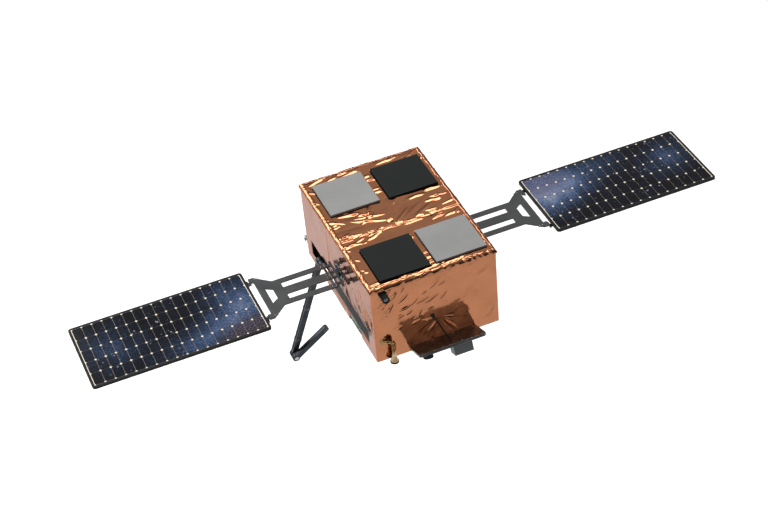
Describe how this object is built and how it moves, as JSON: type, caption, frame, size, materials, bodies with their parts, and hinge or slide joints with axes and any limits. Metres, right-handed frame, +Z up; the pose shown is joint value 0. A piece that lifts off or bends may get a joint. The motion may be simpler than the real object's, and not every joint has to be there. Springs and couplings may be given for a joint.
{
  "type": "small satellite with folding solar wings and a service arm",
  "caption": "Box-shaped satellite in a copper film blanket, with folding solar wings on yokes, a jointed service arm, top patches, sensor shelf and thrusters.",
  "frame": {"origin": "centre of the launch ring's lower face, on its bolt circle's axis", "axes": "+Z up through the top panel, -Y towards the sensor shelf, +X towards the right wing"},
  "size_m": [2.622, 0.9072, 0.7496],
  "materials": {
    "copper_blanket": "crinkled copper-coloured film blanket over a sandwich panel",
    "bare_aluminium": "machined, satin",
    "grey_liner": "satin grey channel",
    "black_liner": "black film lining",
    "circuit_board": "green lacquered board",
    "grey_patch": "matt grey paint",
    "black_patch": "matt black paint",
    "sensor_black": "satin black",
    "bronze_pipe": "heat-tinted ribbed pipe",
    "nozzle_metal": "polished, heat-tinted",
    "shelf_black": "semi-gloss black",
    "sensor_grey": "satin grey",
    "drive_housing": "dark anodised",
    "carbon_yoke": "smooth carbon composite",
    "steel_pin": "ground",
    "panel_carbon": "carbon composite face sheet",
    "solar_cells": "cover glass over dark blue cells",
    "arm_anodised": "black anodised"
  },
  "bodies": {
    "root": {"top_panel_front": "copper_blanket", "top_panel_rear": "copper_blanket", "front_wall": "copper_blanket", "rear_wall": "copper_blanket", "right_wall": "copper_blanket", "left_wall": "copper_blanket", "bottom_deck": "copper_blanket", "propellant_tank": "bare_aluminium", "adapter_ring": "bare_aluminium", "arm_cradle": "grey_liner", "arm_bay": "black_liner", "service_board": "circuit_board", "patch_rear_left": "grey_patch", "patch_rear_right": "black_patch", "patch_front_left": "black_patch", "patch_front_right": "grey_patch", "sun_sensor": "sensor_black", "front_thruster": "bronze_pipe", "front_nozzle": "nozzle_metal", "rear_thruster": "bronze_pipe", "rear_nozzle": "nozzle_metal", "sensor_shelf": "shelf_black", "shelf_stay": "shelf_black", "sensor_box": "sensor_grey", "round_sensor": "sensor_black", "left_wing_drive": "drive_housing", "right_wing_drive": "drive_housing", "shoulder_drive": "drive_housing"},
    "left_hub": {"left_wing_root": "carbon_yoke", "left_fold_pin": "steel_pin"},
    "right_hub": {"right_wing_root": "carbon_yoke", "right_fold_pin": "steel_pin"},
    "left_boom": {"left_yoke": "carbon_yoke", "left_panel_pins": "steel_pin"},
    "right_boom": {"right_yoke": "carbon_yoke", "right_panel_pins": "steel_pin"},
    "left_array": {"left_panel": "panel_carbon", "left_cell_sheet": "solar_cells"},
    "right_array": {"right_panel": "panel_carbon", "right_cell_sheet": "solar_cells"},
    "turret": {"arm_turret": "arm_anodised", "shoulder_pin": "steel_pin"},
    "upper_link": {"upper_arm": "arm_anodised", "elbow_pin": "steel_pin"},
    "lower_link": {"forearm": "arm_anodised", "arm_tip": "arm_anodised"}
  },
  "joints": [
    {"name": "left_wing_drive", "type": "hinge", "parent": "root", "child": "left_hub", "pos_m": [-0.255, -0.015, 0.235], "axis": [-1, 0, 0], "range_deg": [-90, 90]},
    {"name": "left_wing_fold", "type": "hinge", "parent": "left_hub", "child": "left_boom", "pos_m": [-0.292, -0.015, 0.235], "axis": [0, -1, 0], "range_deg": [-90, 0]},
    {"name": "left_panel_hinge", "type": "hinge", "parent": "left_boom", "child": "left_array", "pos_m": [-0.597, -0.015, 0.224], "axis": [0, -1, 0], "range_deg": [0, 180]},
    {"name": "right_wing_drive", "type": "hinge", "parent": "root", "child": "right_hub", "pos_m": [0.255, -0.015, 0.235], "axis": [-1, 0, 0], "range_deg": [-90, 90]},
    {"name": "right_wing_fold", "type": "hinge", "parent": "right_hub", "child": "right_boom", "pos_m": [0.292, -0.015, 0.235], "axis": [0, 1, 0], "range_deg": [-90, 0]},
    {"name": "right_panel_hinge", "type": "hinge", "parent": "right_boom", "child": "right_array", "pos_m": [0.597, -0.015, 0.224], "axis": [0, 1, 0], "range_deg": [0, 180]},
    {"name": "arm_turn", "type": "hinge", "parent": "root", "child": "turret", "pos_m": [-0.26, 0.2, 0.1235], "axis": [1, 0, 0], "range_deg": [-90, 45]},
    {"name": "arm_lift", "type": "hinge", "parent": "turret", "child": "upper_link", "pos_m": [-0.26, 0.2, 0.1235], "axis": [0, 1, 0], "range_deg": [-20.4, 69.6]},
    {"name": "elbow_bend", "type": "hinge", "parent": "upper_link", "child": "lower_link", "pos_m": [-0.42369, 0.2, -0.31665], "axis": [0, 1, 0], "range_deg": [-34, 146]}
  ],
  "couplings": [
    {"joint": "left_panel_hinge", "follows": "left_wing_fold", "ratio": -2},
    {"joint": "right_panel_hinge", "follows": "right_wing_fold", "ratio": -2}
  ]
}
